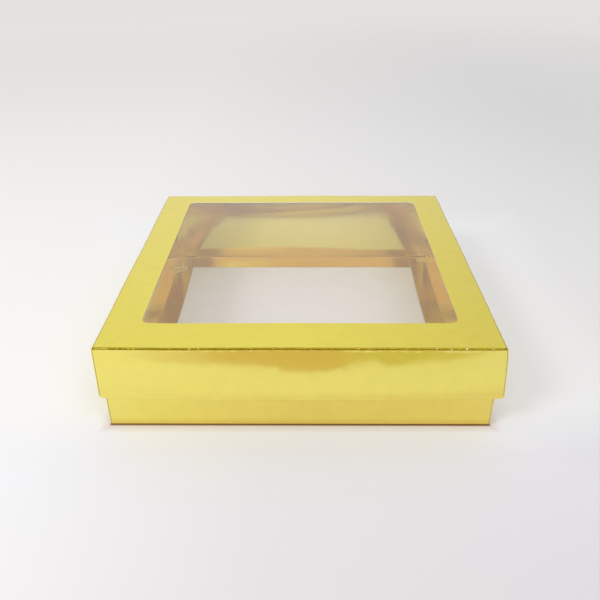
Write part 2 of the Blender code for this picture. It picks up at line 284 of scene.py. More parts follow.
def fold_tree(sheet):
    """Sweeps a fold's rows into a strip, springs a skirt out, and makes the strip sheet stock.

    The input is a string of points, one for each row, at (out, up). Their attributes say how far the row
    reaches to each side, how far it bows in at its middle and how worn the board is there. Wear by folding
    alone is stored apart, for the foil's painted shade along creases, and with that of a dent as worn.
    """
    tree, given = new_tree("Folded strip", {**FOLD_INPUTS, **SHEET_INPUTS})
    rows = add(tree, "GeometryNodeAttributeDomainSize", [given["Geometry"]])
    grid = {"Size X": 2.0, "Size Y": 1.0, "Vertices X": given["Columns"], "Vertices Y": rows}
    grid = add(tree, "GeometryNodeMeshGrid", grid)
    cell = add(tree, "ShaderNodeSeparateXYZ", [add(tree, "GeometryNodeInputPosition")]).outputs
    last = add(tree, "ShaderNodeMath", [rows, 1.0], operation="SUBTRACT")
    row = add(tree, "ShaderNodeMath", [cell["Y"], 1 / 2], operation="ADD")
    row = add(tree, "ShaderNodeMath", [row, last, 1 / 2], operation="MULTIPLY_ADD")
    at = {}
    for label in ("low", "high", "bow", "worn"):
        value = add(tree, "GeometryNodeInputNamedAttribute", {"Name": label}, data_type="FLOAT")
        sample = {"Geometry": given["Geometry"], "Value": value, "Index": row}
        at[label] = add(tree, "GeometryNodeSampleIndex", sample, data_type="FLOAT")
    place = {"Geometry": given["Geometry"], "Value": add(tree, "GeometryNodeInputPosition"), "Index": row}
    place = add(tree, "GeometryNodeSampleIndex", place, data_type="FLOAT_VECTOR")
    place = add(tree, "ShaderNodeSeparateXYZ", [place]).outputs
    across = add(tree, "ShaderNodeMapRange", [cell["X"], -1.0, 1.0, at["low"], at["high"]])
    square = add(tree, "ShaderNodeMath", [cell["X"], cell["X"]], operation="MULTIPLY")
    middle = add(tree, "ShaderNodeMath", [1.0, square], operation="SUBTRACT")
    skewed = add(tree, "ShaderNodeMath", [cell["X"], given["Bow skew"], 1.0], operation="MULTIPLY_ADD")
    middle = add(tree, "ShaderNodeMath", [middle, skewed], operation="MULTIPLY")
    bowed = add(tree, "ShaderNodeMath", [at["bow"], middle], operation="MULTIPLY")
    out = add(tree, "ShaderNodeMath", [place["X"], bowed], operation="SUBTRACT")
    spread = given["Origin"]
    for axis, amount in (("Along", across), ("Out", out), ("Up", place["Y"])):
        step = add(tree, "ShaderNodeVectorMath", {0: given[axis], "Scale": amount}, operation="SCALE")
        spread = add(tree, "ShaderNodeVectorMath", [spread, step], operation="ADD")

    # Crumpled foil round a dent in the inner board, whose cracks are painted cream, partly as a painted glint.
    # Wear
    #     # grows over the outer third of the dent
    gap = add(tree, "ShaderNodeVectorMath", [spread, given["Dent"]], operation="DISTANCE").outputs["Value"]
    dented = add(tree, "ShaderNodeMapRange", [gap, given["Dent radius"], 0.0, 0.0, 3 * DENT_WEAR])
    dented = add(tree, "ShaderNodeMath", [dented, DENT_WEAR], operation="MINIMUM")
    inner = add(tree, "ShaderNodeMath", [place["X"], INNER_BOARD], operation="LESS_THAN")
    dented = add(tree, "ShaderNodeMath", [dented, inner], operation="MULTIPLY")
    wear = add(tree, "ShaderNodeMath", [at["worn"], dented], operation="MAXIMUM")
    strip = grid
    # Wear by folding alone is kept apart, for the painted shade that darkens the foil along creases
    for label, value in (("pressed", at["worn"]), ("worn", wear)):
        strip = {"Geometry": strip, "Name": label, "Value": value}
        strip = add(tree, "GeometryNodeStoreNamedAttribute", strip, data_type="FLOAT", domain="POINT")
    strip = add(tree, "GeometryNodeSetPosition", {"Geometry": strip, "Position": spread})

    # The skirt springs out towards its rim, and its ends bulge at mid-length
    spot = add(tree, "ShaderNodeSeparateXYZ", [add(tree, "GeometryNodeInputPosition")]).outputs
    drop = add(tree, "ShaderNodeMath", [given["Skirt top"], spot["Z"]], operation="SUBTRACT")
    drop = add(tree, "ShaderNodeMath", [drop, given["Skirt depth"]], operation="DIVIDE", use_clamp=True)
    curved = add(tree, "ShaderNodeMath", [drop, given["Splay curve"]], operation="POWER")
    far = {axis: add(tree, "ShaderNodeMath", [spot[axis], given["Half"]], operation="DIVIDE") for axis in "XY"}
    right = add(tree, "FunctionNodeCompare", [spot["X"], 0.0], operation="GREATER_THAN")
    splay = {"Switch": right, "False": given["Left splay"], "True": given["Right splay"]}
    splay = add(tree, "GeometryNodeSwitch", splay, input_type="FLOAT")
    widened = curved
    for factor in (splay, far["X"]):
        widened = add(tree, "ShaderNodeMath", [widened, factor], operation="MULTIPLY")
    square = add(tree, "ShaderNodeMath", [far["X"], far["X"]], operation="MULTIPLY")
    middle = add(tree, "ShaderNodeMath", [1.0, square], operation="SUBTRACT")
    turned = add(tree, "ShaderNodeMath", [drop, pi / 2], operation="MULTIPLY")
    turned = add(tree, "ShaderNodeMath", [turned], operation="SINE")
    bulge = middle
    for factor in (turned, given["End bulge"]):
        bulge = add(tree, "ShaderNodeMath", [bulge, factor], operation="MULTIPLY")
    bulge = add(tree, "ShaderNodeMath", [curved, given["End splay"], bulge], operation="MULTIPLY_ADD")
    bulge = add(tree, "ShaderNodeMath", [bulge, far["Y"]], operation="MULTIPLY")
    sprung = add(tree, "ShaderNodeCombineXYZ", [widened, bulge])
    strip = add(tree, "GeometryNodeSetPosition", {"Geometry": strip, "Offset": sprung})

    over = add(tree, "GeometryNodeFlipFaces", {"Mesh": strip, "Selection": given["Turned over"]})
    stock = add(tree, "GeometryNodeGroup", node_tree=sheet)
    tree.links.new(over.outputs[0], stock.inputs["Geometry"])
    for label in SHEET_INPUTS:
        tree.links.new(given[label], stock.inputs[label])
    strip = add(tree, "GeometryNodeRealizeInstances", [stock])
    add(tree, "NodeGroupOutput", [strip])
    return tree


def tree_named(name):
    """One of the two geometry trees, built when it is first asked for."""
    if name not in bpy.data.node_groups:
        fold_tree(sheet_tree())
    return bpy.data.node_groups[name]


# Pieces

# Faces that meet at more than this show an edge
SHARP = radians(40)


def points_mesh(name, points, faces=(), **attributes):
    """A mesh whose points each carry a value of every attribute."""
    mesh = bpy.data.meshes.new(name)
    mesh.from_pydata(points, [], faces)
    for label, values in attributes.items():
        mesh.attributes.new(label, "FLOAT", "POINT").data.foreach_set("value", values)
    return mesh


def piece(name, source, tree, body, node, slot, **inputs):
    """A finished piece: the tree's result as a plain mesh, which rides on its body for its CAD node."""
    made = bpy.data.objects.new(name, source)
    bpy.context.scene.collection.objects.link(made)
    modifier = made.modifiers.new("stock", "NODES")
    modifier.node_group = tree_named(tree)
    for item in modifier.node_group.interface.items_tree:
        label = item.name.replace(" ", "_").lower()
        if item.in_out == "INPUT" and label in inputs:
            modifier[item.identifier] = inputs[label]
    graph = bpy.context.evaluated_depsgraph_get()
    mesh = bpy.data.meshes.new_from_object(made.evaluated_get(graph), depsgraph=graph)
    made.modifiers.clear()
    made.data = mesh
    mesh.name = name
    bpy.data.meshes.remove(source)
    if not mesh.polygons:
        raise RuntimeError(f"{name} came out empty")
    for spare in ("through", "printed"):
        if spare in mesh.attributes:
            mesh.attributes.remove(mesh.attributes[spare])
    mesh.shade_smooth()
    mesh.set_sharp_from_angle(angle=SHARP)
    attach(made, body)
    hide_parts(node)
    return made


# A sheet that rests on the table is flat there, and waves in full this high above it. Another waves at once
RESTING = 12 * MM
FREE = MM / 100


def sheet_inputs(scene, face, reverse, thickness=None, rest=FREE):
    """What the tree needs to know of a sheet, which is foil board if no thickness is given."""
    shape = scene.gift_box_shape
    return {
        "thickness": thickness or scene.gift_box.board,
        "wave_height": shape.wave,
        "wave_size": shape.wave_size,
        "crumple_height": shape.crumple,
        "crumple_size": shape.crumple_size,
        "rest_height": rest,
        "seed": shape.seed,
        "face": bpy.data.materials[face],
        "reverse": bpy.data.materials[reverse],
    }


# Rows of a folded strip


def graded(distance, fine=0.5 * MM, coarse=2 * MM, growth=1.4):
    """Shares from 0 to 1 along a distance, in steps that are fine at its ends and coarse in its middle."""
    steps = []
    step = fine
    while 2 * (sum(steps) + step) < distance:
        steps.append(step)
        step = min(step * growth, coarse)
    rest = distance - 2 * sum(steps)
    count = max(1, round(rest / step))
    steps = steps + [rest / count] * count + steps[::-1]
    shares = [sum(steps[:i]) / distance for i in range(len(steps))]
    return shares + [1.0]


# A reach gives how far a row lies to each side, at a share of the way along its run


def even(half):
    return lambda share: (-half, half)


def taper(start, end):
    return lambda share: (share * (start - end) - start, start - share * (start - end))


def rounded_end(half, corner):
    """A reach that goes round a quarter circle over a run as long as the corner."""

    def reach(share):
        cut = corner * (1 - sqrt(max(0, 1 - share**2)))
        return cut - half, half - cut

    return reach


def between(low, high, narrowing):
    return lambda share: (low + narrowing * share, high - narrowing * share)


# A shorter run is one row, and rows that lie closer than this are one
SHORT_RUN = MM / 20
SAME_ROW = MM / 50


def sheet_rows(start, runs, arc_steps=8):
    """The rows of a folded strip, and the places of its folds along it."""
    places = [start] + [run.end for run in runs]
    ways = [(b - a).normalized() for a, b in zip(places, places[1:])]
    setbacks = [0.0] + [run.fold * tan(a.angle(b) / 2) for a, b, run in zip(ways, ways[1:], runs)] + [0.0]
    rows, folds = [], []
    for i, run in enumerate(runs):
        first = places[i] + ways[i] * setbacks[i]
        last = run.end - ways[i] * setbacks[i + 1]
        distance = (last - first).length
        for share in graded(distance) if distance > SHORT_RUN else [1 / 2]:
            rows.append(Row(first.lerp(last, share), run.reach(share), run.bow(share)))
        if i + 1 == len(runs) or not run.fold:
            continue
        after = runs[i + 1].reach(0)
        narrower = max(run.reach(1)[0], after[0]), min(run.reach(1)[1], after[1])
        turn = ways[i].angle_signed(ways[i + 1])
        inward = Vector((ways[i].y, -ways[i].x)) * (1 if turn > 0 else -1)
        for step in range(1, arc_steps):
            angle = abs(turn) * step / arc_steps
            spoke = ways[i] * sin(angle) + inward * (1 - cos(angle))
            rows.append(Row(last + spoke * run.fold, narrower, run.bow(1)))
            if 2 * step == arc_steps:
                folds.append(rows[-1].place)
    kept = [rows[0]]
    for row in rows[1:]:
        if (row.place - kept[-1].place).length > SAME_ROW:
            kept.append(row)
    return kept, folds


# Wear falls to about a third at this distance from the middle of a crease
WORN_WIDTH = 1.3 * MM


def worn(distance):
    """How worn a board is at a distance from the middle of a crease."""
    return exp(-((distance / WORN_WIDTH) ** 2))


# A rim and an inner crease are rolled over, which wears the board less than the pressed outer crease
ROLLED_WEAR = 0.45


def rows_mesh(name, rows, folds, first):
    """The middle surface of a strip, as one row of points that carry its reach, bow and wear."""
    strength = [first] + [ROLLED_WEAR] * (len(folds) - 1)
    wear = [
        max([worn((row.place - fold).length) * much for fold, much in zip(folds, strength)], default=0.0)
        for row in rows
    ]
    return points_mesh(
        name,
        [(*row.place, 0) for row in rows],
        low=[row.reach[0] for row in rows],
        high=[row.reach[1] for row in rows],
        bow=[row.bow for row in rows],
        worn=wear,
    )


# The two cartons


def carton(scene, name):
    """The measures of one folded board. A level is how far a flap's middle lies from the panel's face, and a
    bow how far an inner board bows in at mid-length, at a share of the way down it. It also gives how worn its
    outer creases are, which sets their wear and the painted shade that darkens them."""
    box, shape = scene.gift_box, scene.gift_box_shape
    half, middle = box.width / 2, box.board / 2
    wall = 3 * box.board + 2 * box.air
    step = box.board + box.air
    if name == "tray":
        first = step + middle
        return SimpleNamespace(
            name=name,
            half=half - box.tray_inset,
            height=box.tray_height,
            wall=wall,
            end=SimpleNamespace(
                lean=0.0034,
                bow=lambda share: 0.0125 * share * (1 - share) ** 2,
                flap=0.0211,
                mitre=0.012,
                bend=0.0006,
                level=first,
            ),
            side=SimpleNamespace(
                lean=0.0022,
                bow=lambda share: 0.0028 * share,
                flap=0.0155,
                mitre=0.003,
                bend=0.0006,
                level=first + step,
            ),
            tab=0.040,
            up=UP,
            origin=Vector((0, 0, 0)),
            rest=RESTING,
            pressed=0.65,
            splay={"half": half, "skirt_top": -1.0, "skirt_depth": 1.0, "splay_curve": 1.0},
        )
    first = box.board + box.air + box.film + box.air + middle
    lid_inner = {"lean": 0.0, "bow": lambda share: 0.0, "mitre": 0.012, "bend": 0.8 * MM}
    return SimpleNamespace(
        name=name,
        half=half,
        height=box.lid_depth,
        wall=wall,
        end=SimpleNamespace(**lid_inner, flap=0.0145, level=first),
        side=SimpleNamespace(**lid_inner, flap=0.020, level=first + step),
        tab=0.030,
        up=-UP,
        origin=Vector((0, 0, box.lid_top)),
        rest=FREE,
        pressed=1.0,
        splay={
            "half": half,
            "skirt_top": box.lid_top - box.crease,
            "skirt_depth": box.lid_depth - box.crease,
            "left_splay": shape.left_splay,
            "right_splay": shape.right_splay,
            "end_splay": shape.end_splay,
            "splay_curve": shape.splay_curve,
            "end_bulge": shape.end_bulge,
        },
    )


def wall_rows(box, carton, inner, reaches):
    """Rows of a double wall: crease, outer board, roll over the rim, inner board, crease and flap."""
    middle = box.board / 2
    crease, roll = box.crease - middle, carton.wall / 2 - middle
    outside, inside = carton.half - middle, carton.half - carton.wall + middle
    rim = carton.height - middle
    corner = carton.height - carton.wall / 2 - box.rim_corner
    foot = inside - inner.lean
    runs = [
        Run(Vector((outside, middle)), crease, reaches[0]),
        Run(Vector((outside, corner)), 0, reaches[1]),
        Run(Vector((outside, rim)), roll, reaches[2]),
        Run(Vector((inside, rim)), roll, reaches[3]),
        Run(Vector((foot, inner.level)), inner.bend, reaches[4], inner.bow),
        Run(Vector((foot - inner.flap, inner.level)), 0, reaches[5], lambda share: inner.bow(1)),
    ]
    return sheet_rows(Vector((outside - box.crease, middle)), runs)


# A tab turns the corner on a small radius, from where its wall ends, a little before the fold. It lies this
# close behind the side wall's outer board, starts this far from the panel's face and narrows towards its end
CORNER_FOLD = 0.4 * MM
CORNER_FLAT = MM / 10
TAB_GAP = MM / 12
TAB_FOOT = 1.2 * MM
TAB_TAPER = 3 * MM


def corner_face(box, carton):
    """How far out the middle of a corner tab lies, close behind the side wall's outer board."""
    return carton.half - 3 * box.board / 2 - TAB_GAP


def end_reaches(box, carton):
    panel = even(corner_face(box, carton) - CORNER_FOLD - CORNER_FLAT)
    inside = carton.half - carton.wall - box.air
    return panel, panel, panel, even(inside), even(inside), taper(inside, inside - carton.end.mitre)


# A side flap ends this far short of the feet of the end walls
FLAP_GAP = MM


def side_reaches(box, carton):
    edge = carton.half
    inside = edge - carton.wall - box.air
    foot = inside - carton.end.lean
    flap = foot - FLAP_GAP
    return (
        even(edge - box.crease),
        even(edge),
        rounded_end(edge, box.rim_corner),
        even(edge - box.rim_corner),
        taper(inside, foot),
        taper(flap, flap - carton.side.mitre),
    )


# Where folding has crumpled the foil of a side wall's foot, and how far round. Their cracks are painted cream,
# # partly as painted glints at the back corners
DENTS_AND_GLINTS = {
    "tray_left_wall": ((-0.1165, 0.094, 0.006), 0.013),
    "tray_right_wall": ((0.114, 0.112, 0.003), 0.008),
}


def fold_wall(scene, carton, side, columns=201):
    """One double wall of a carton, from its crease to the end of its flap."""
    box = scene.gift_box
    ends = side in ("front", "back")
    inner = carton.end if ends else carton.side
    reaches = (end_reaches if ends else side_reaches)(box, carton)
    along, out = SIDES[side]
    node = f"{carton.name}_{side}_wall"
    piece(
        f"{node}_board",
        rows_mesh(node, *wall_rows(box, carton, inner, reaches), first=carton.pressed),
        "Folded strip",
        carton.name,
        node,
        "foil_board",
        columns=columns,
        along=along,
        out=out,
        up=carton.up,
        origin=carton.origin,
        turned_over=carton.up.z < 0,
        bow_skew=0.8 if ends else 0.0,
        **dict(zip(("dent", "dent_radius"), DENTS_AND_GLINTS.get(node, ((0, 0, -1), MM)))),
        **carton.splay,
        **sheet_inputs(scene, FOIL, PAPER, rest=carton.rest),
    )


def fold_tab(scene, carton, side, hand):
    """The tab at one end of a front or back wall. It turns the corner inside the side wall."""
    box = scene.gift_box
    face = corner_face(box, carton)
    outside = carton.half - box.board / 2
    low, high = TAB_FOOT, carton.height - carton.wall / 2
    rows, folds = sheet_rows(
        Vector((face - CORNER_FOLD - CORNER_FLAT, outside)),
        [
            Run(Vector((face, outside)), CORNER_FOLD, between(low, high, 0)),
            Run(Vector((face, outside - carton.tab)), 0, between(low, high, TAB_TAPER)),
        ],
    )
    along, out = SIDES[side]
    end = 1 if (side == "front") == (hand == "right") else -1
    node = f"{carton.name}_{side}_{hand}_corner_tab"
    outward = carton.up.cross(-out).dot(along * end)
    piece(
        f"{node}_board",
        rows_mesh(node, rows, folds, first=ROLLED_WEAR),
        "Folded strip",
        carton.name,
        node,
        "board_reverse",
        columns=15,
        along=carton.up,
        out=along * end,
        up=out,
        origin=carton.origin,
        turned_over=outward < 0,
        **carton.splay,
        **sheet_inputs(scene, FOIL, PAPER, rest=carton.rest),
    )


# Flat pieces


def outline(left, right, front, back, corner, side_steps=150, corner_steps=10):
    """A rectangle with its corners as arcs, anticlockwise from the front right corner."""
    centres = (
        (right - corner, front + corner),
        (right - corner, back - corner),
        (left + corner, back - corner),
        (left + corner, front + corner),
    )
    arcs = []
    for quarter, (x, y) in enumerate(centres):
        arc = []
        for step in range(corner_steps + 1):
            angle = (quarter - 1 + step / corner_steps) * pi / 2
            arc.append(Vector((x + corner * cos(angle), y + corner * sin(angle))))
        arcs.append(arc)
    points = []
    for arc, after in zip(arcs, arcs[1:] + arcs[:1]):
        points += arc
        points += [arc[-1].lerp(after[0], step / side_steps) for step in range(1, side_steps)]
    return points


def window_outline(box, grown, corner):
    """The window's outline, moved out by the same amount on every side."""
    side = box.width / 2 - box.window_side + grown
    front = box.window_front - grown - box.depth / 2
    back = box.depth / 2 - box.window_back + grown
    return outline(-side, side, front, back, corner)


def ring_mesh(name, inner, outer, shares, height, wear=lambda spot: 0.0):
    """A flat ring between two outlines, whose rings lie at the shares of the way out. It faces up."""
    count = len(inner)
    spots = [a.lerp(b, share) for share in shares for a, b in zip(inner, outer)]
    faces = []
    for ring in range(len(shares) - 1):
        near, far = ring * count, (ring + 1) * count
        for i in range(count):
            j = (i + 1) % count
            faces.append((near + i, far + i, far + j, near + j))
    wears = [wear(spot) for spot in spots]
    return points_mesh(name, [(*spot, height) for spot in spots], faces, worn=wears, pressed=wears)


def grid_mesh(name, low, high, corner, height, step=3 * MM, faces_down=False):
    """A flat sheet with rounded corners, on a grid."""
    lines = []
    for a, b in zip(low, high):
        around = [corner * i / 4 for i in range(4)] if corner else []
        inner = b - a - 2 * corner
        count = round(inner / step)
        middle = [a + corner + inner * i / count for i in range(count + 1)]
        lines.append([a + x for x in around] + middle + [b - x for x in around[::-1]])
    points = [(*rounded(Vector((x, y)), low, high, corner), height) for y in lines[1] for x in lines[0]]
    width = len(lines[0])
    faces = []
    for j in range(len(lines[1]) - 1):
        for i in range(width - 1):
            face = (j * width + i, j * width + i + 1, (j + 1) * width + i + 1, (j + 1) * width + i)
            faces.append(face[::-1] if faces_down else face)
    return points_mesh(name, points, faces, worn=[0.0] * len(points))


def rounded(spot, low, high, corner):
    """A point of a square corner, drawn in to the round one."""
    centre = Vector([min(max(v, a + corner), b - corner) for v, a, b in zip(spot, low, high)])
    away = spot - centre
    if not corner or not away.x or not away.y:
        return spot
    return centre + away * (max(abs(away.x), abs(away.y)) / away.length)


# Materials


FOIL = "mirror gold foil board"
PAPER = "white board reverse"
FILM = "clear window film"
GLUE = "dried clear glue"


def new_material(name):
    """An empty material's tree, and the object coordinates that its patterns are drawn in."""
    made = bpy.data.materials.new(name)
    made.use_nodes = True
    made.node_tree.nodes.clear()
    return made.node_tree, add(made.node_tree, "ShaderNodeTexCoord").outputs["Object"]


def opaque(tint, times=1.0):
    """A property's colour, darkened or not, with full alpha."""
    return (*[channel * times for channel in tint], 1.0)


def foil_material(finish):
    """Metallised foil on board, calendered smooth. It mirrors softly, and the board's fibres and slow dents
    show as an unevenness. Worn foil is wrinkled, and its cracks show pale board, painted cream, which in the
    dents is partly a painted glint. Along the middle of a crease the foil is painted a deeper olive, as painted
    shade.
    Real fibres are too fine to show, and are drawn coarser."""
    tree, spot = new_material(FOIL)
    wear = add(tree, "ShaderNodeAttribute", attribute_name="worn").outputs["Fac"]
    pressed = add(tree, "ShaderNodeAttribute", attribute_name="pressed").outputs["Fac"]
    fibres = add(tree, "ShaderNodeTexNoise", {"Vector": spot, "Scale": 1 / (0.9 * MM), "Detail": 2.0})
    dents = add(tree, "ShaderNodeTexNoise", {"Vector": spot, "Scale": 1 / (9 * MM), "Detail": 1.0})
    wrinkles = add(tree, "ShaderNodeTexNoise", {"Vector": spot, "Scale": 1 / (1.6 * MM), "Detail": 3.0})
    wrinkled = add(tree, "ShaderNodeMath", [wrinkles, wear], operation="MULTIPLY")
    bump = None
    for height, depth in ((fibres, 0.004 * MM), (dents, 0.06 * MM), (wrinkled, 0.25 * MM)):
        bump = add(tree, "ShaderNodeBump", {"Distance": depth, "Height": height, "Normal": bump})

    # Smudges make the mirror image softer here and there
    smudges = add(tree, "ShaderNodeTexNoise", {"Vector": spot, "Scale": 1 / (28 * MM), "Detail": 3.0})
    roughness = add(tree, "ShaderNodeMapRange", [smudges, 0.35, 0.7, 0.09, 0.16])

    # Cracks are drawn out up and down. Past a wear of 1.25 no more of the foil breaks. They show pale board,
    #     # painted cream, which in the dents is partly a painted glint
    drawn = add(tree, "ShaderNodeVectorMath", [spot, (1.0, 1.0, 0.35)], operation="MULTIPLY")
    cracks = add(tree, "ShaderNodeTexNoise", {"Vector": drawn, "Scale": 1 / (1.6 * MM), "Detail": 2.0})
    broken = add(tree, "ShaderNodeMath", [wear, 1.25], operation="MINIMUM")
    cracks_and_glints = add(tree, "ShaderNodeMath", [cracks, broken], operation="MULTIPLY")
    cracks_and_glints = add(tree, "ShaderNodeMapRange", [cracks_and_glints, 0.63, 0.67])
    gold = opaque(finish.foil)
    for amount, shade in (
        (add(tree, "ShaderNodeMapRange", [dents, 0.3, 0.7]), opaque(finish.foil, 0.97)),
        # Painted shade: creases are painted a darker olive
        (add(tree, "ShaderNodeMapRange", [pressed, 0.5, 0.95]), hex_colour("#B8A62A")),
        (cracks_and_glints, hex_colour("#FFF0B4")),
    ):
        gold = add(tree, "ShaderNodeMix", {0: amount, 6: gold, 7: shade}, data_type="RGBA").outputs[2]
    metal = add(tree, "ShaderNodeMath", [1.0, cracks_and_glints], operation="SUBTRACT")
    surface = {"Base Color": gold, "Metallic": metal, "Roughness": roughness, "Normal": bump}
    shader = add(tree, "ShaderNodeBsdfPrincipled", surface)
    add(tree, "ShaderNodeOutputMaterial", [shader])


def paper_material(finish):
    """Uncoated white-lined board. It is matt, faintly mottled, and its fibres, drawn coarser, show in a low
    light."""
    tree, spot = new_material(PAPER)
    fibres = add(tree, "ShaderNodeTexNoise", {"Vector": spot, "Scale": 1 / (0.5 * MM), "Detail": 3.0})
    mottle = add(tree, "ShaderNodeTexNoise", {"Vector": spot, "Scale": 1 / (14 * MM), "Detail": 3.0})
    bump = add(tree, "ShaderNodeBump", {"Distance": 0.02 * MM, "Height": fibres})
    tone = add(tree, "ShaderNodeMapRange", [mottle, 0.3, 0.7])
    shades = {0: tone, 6: opaque(finish.paper), 7: opaque(finish.paper, 0.96)}
    shown = add(tree, "ShaderNodeMix", shades, data_type="RGBA").outputs[2]
    roughness = add(tree, "ShaderNodeMapRange", [fibres, 0.3, 0.7, 0.66, 0.8])
    surface = {"Base Color": shown, "Roughness": roughness, "Normal": bump}
    shader = add(tree, "ShaderNodeBsdfPrincipled", surface)
    add(tree, "ShaderNodeOutputMaterial", [shader])


def film_material(finish):
    """Clear window film. It lets most light through, mirrors more at a low angle, and has a faint haze."""
    tree, spot = new_material(FILM)
    facing = add(tree, "ShaderNodeLayerWeight", {"Blend": 1 / 2}).outputs["Facing"]
    grazing = add(tree, "ShaderNodeMath", [facing, 5.0], operation="POWER")
    veil = add(tree, "ShaderNodeTexNoise", {"Vector": spot, "Scale": 1 / (60 * MM), "Detail": 2.0})
    veil = add(tree, "ShaderNodeMapRange", [veil, 0.3, 0.7, 0.065, 0.085])
    seen = add(tree, "ShaderNodeMath", [grazing, 1.3, veil], operation="MULTIPLY_ADD")
    seen = add(tree, "ShaderNodeMath", [seen, 1.0], operation="MINIMUM")
    ripple = add(tree, "ShaderNodeTexNoise", {"Vector": spot, "Scale": 1 / (35 * MM), "Detail": 1.0})
    bump = add(tree, "ShaderNodeBump", {"Distance": 0.3 * MM, "Height": ripple})
    surface = {"Base Color": opaque(finish.haze), "Metallic": 0.6, "Roughness": 0.06, "Alpha": seen}
    shader = add(tree, "ShaderNodeBsdfPrincipled", {**surface, "Normal": bump})
    add(tree, "ShaderNodeOutputMaterial", [shader])


def glue_material():
    """Dried clear glue under the film's margin. It is milky and uneven in width."""
    tree, spot = new_material(GLUE)
    beads = add(tree, "ShaderNodeTexNoise", {"Vector": spot, "Scale": 1 / (2 * MM), "Detail": 2.0})
    bump = add(tree, "ShaderNodeBump", {"Distance": 0.1 * MM, "Height": beads})
    seen = add(tree, "ShaderNodeMapRange", [beads, 0.3, 0.7, 0.35, 0.7])
    surface = {"Base Color": hex_colour("#E8E4D8"), "Roughness": 0.35, "Alpha": seen, "Normal": bump}
    shader = add(tree, "ShaderNodeBsdfPrincipled", surface)
    add(tree, "ShaderNodeOutputMaterial", [shader])


# Operators


class GIFTBOX_OT_materials(bpy.types.Operator):
    """Make the foil, board, film and glue materials"""

    bl_idname = "gift_box.materials"
    bl_label = "Make materials"

    def execute(self, context):
        finish = context.scene.gift_box_finish
        foil_material(finish)
        paper_material(finish)
        film_material(finish)
        glue_material()
        return {"FINISHED"}


class GIFTBOX_OT_lid_walls(bpy.types.Operator):
    """Fold the lid's four double walls"""

    bl_idname = "gift_box.lid_walls"
    bl_label = "Fold lid walls"

    def execute(self, context):
        lid = carton(context.scene, "lid")
        for side in SIDES:
            fold_wall(context.scene, lid, side)
        return {"FINISHED"}


class GIFTBOX_OT_tray_walls(bpy.types.Operator):
    """Fold the tray's four double walls"""

    bl_idname = "gift_box.tray_walls"
    bl_label = "Fold tray walls"

    def execute(self, context):
        tray = carton(context.scene, "tray")
        for side in SIDES:
            fold_wall(context.scene, tray, side)
        return {"FINISHED"}


class GIFTBOX_OT_corner_tabs(bpy.types.Operator):
    """Fold the tabs that turn the corners inside the side walls"""

    bl_idname = "gift_box.corner_tabs"
    bl_label = "Fold corner tabs"

    def execute(self, context):
        for name in ("lid", "tray"):
            made = carton(context.scene, name)
            for side in ("front", "back"):
                for hand in ("left", "right"):
                    fold_tab(context.scene, made, side, hand)
        return {"FINISHED"}


class GIFTBOX_OT_lid_top(bpy.types.Operator):
    """Cut the frame round the window"""

    bl_idname = "gift_box.lid_top"
    bl_label = "Cut lid frame"

    def execute(self, context):
        scene, box = context.scene, context.scene.gift_box
        half = box.width / 2 - box.board / 2 - box.crease
        inner = window_outline(box, 0, box.window_corner)
        outer = outline(-half, half, -half, half, box.board / 2)
        crease = half + box.board / 2 + (box.crease - box.board / 2) * pi / 4
        height = box.lid_top - box.board / 2

        def wear(spot):
            return worn(crease - max(abs(spot.x), abs(spot.y)))

        mesh = ring_mesh("lid_top_frame", inner, outer, graded(box.window_side), height, wear)
        piece(
            "lid_top_frame_board",
            mesh,
            "Sheet stock",
            "lid",
            "lid_top_frame",
            "foil_board",
            **sheet_inputs(scene, FOIL, PAPER),
        )
        return {"FINISHED"}


class GIFTBOX_OT_window(bpy.types.Operator):
    """Cut the window's film and lay its glue line"""

    bl_idname = "gift_box.window"
    bl_label = "Fit window film"

    def execute(self, context):
        scene, box = context.scene, context.scene.gift_box
        low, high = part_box("window_film")
        mesh = grid_mesh("window_film", low.xy, high.xy, 3 * MM, (low.z + high.z) / 2)
        film = sheet_inputs(scene, FILM, FILM, box.film)
        piece("window_film_sheet", mesh, "Sheet stock", "lid", "window_film", "window_film", **film)

        low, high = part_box("window_glue_line")
        corner = box.window_corner + box.glue_inset
        inner = window_outline(box, box.glue_inset, corner)
        outer = window_outline(box, box.glue_inset + box.glue_width, corner + box.glue_width)
        mesh = ring_mesh("window_glue_line", inner, outer, (0, 1 / 2, 1), (low.z + high.z) / 2)
        glue = sheet_inputs(scene, GLUE, GLUE, box.glue)
        piece("window_glue_bead", mesh, "Sheet stock", "lid", "window_glue_line", "glue", **glue)
        return {"FINISHED"}


class GIFTBOX_OT_tray_floor(bpy.types.Operator):
    """Cut the tray's floor, white inside and gold below"""

    bl_idname = "gift_box.tray_floor"
    bl_label = "Cut tray floor"

    def execute(self, context):
        scene, box = context.scene, context.scene.gift_box
        half = box.width / 2 - box.tray_inset - box.board / 2 - box.crease
        low, high = Vector((-half, -half)), Vector((half, half))
        mesh = grid_mesh("tray_floor", low, high, 0.0, box.board / 2, faces_down=True)
        piece(
            "tray_floor_board",
            mesh,
            "Sheet stock",
            "tray",
            "tray_floor",
            "tray_lining",
            **sheet_inputs(scene, FOIL, PAPER, rest=RESTING),
        )
        return {"FINISHED"}


class GIFTBOX_OT_stage(bpy.types.Operator):
    """Lay the table, hang the lights and place the camera"""

    bl_idname = "gift_box.stage"
    bl_label = "Set stage"

    def execute(self, context):
        lay_table()
        light_world()
        hang_lights()
        place_camera()
        return {"FINISHED"}


def stage_object(name, mesh):
    made = bpy.data.objects.new(name, mesh)
    bpy.context.scene.collection.objects.link(made)
    return made


def disc(name, radius, height, sides=96):
    points = [(radius * cos(2 * pi * i / sides), radius * sin(2 * pi * i / sides), height) for i in range(sides)]
    return points_mesh(name, points, [tuple(range(sides))])


